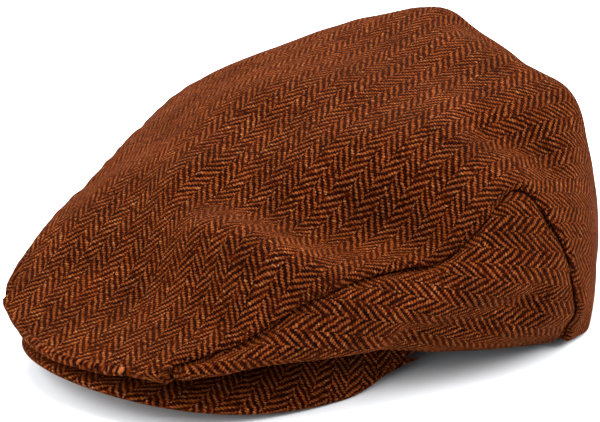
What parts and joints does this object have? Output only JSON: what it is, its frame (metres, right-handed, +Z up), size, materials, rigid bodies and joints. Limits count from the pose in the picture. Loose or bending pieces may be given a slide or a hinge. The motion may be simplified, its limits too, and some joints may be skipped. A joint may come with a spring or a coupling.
{
  "type": "flat cap",
  "caption": "Soft flat cap: a full crown sloping down to the front, a panel on each side and a short stiff peak under the front.",
  "frame": {"origin": "on the table, under the middle of the cap's length and width", "axes": "+Z up, the peak towards -Y, the wearer's left at +X"},
  "size_m": [0.2271, 0.2692, 0.1165],
  "materials": {
    "tweed": "brushed wool herringbone, rust orange on near black"
  },
  "bodies": {
    "root": {"crown_top": "tweed", "side_left": "tweed", "side_right": "tweed", "peak": "tweed"}
  },
  "joints": []
}
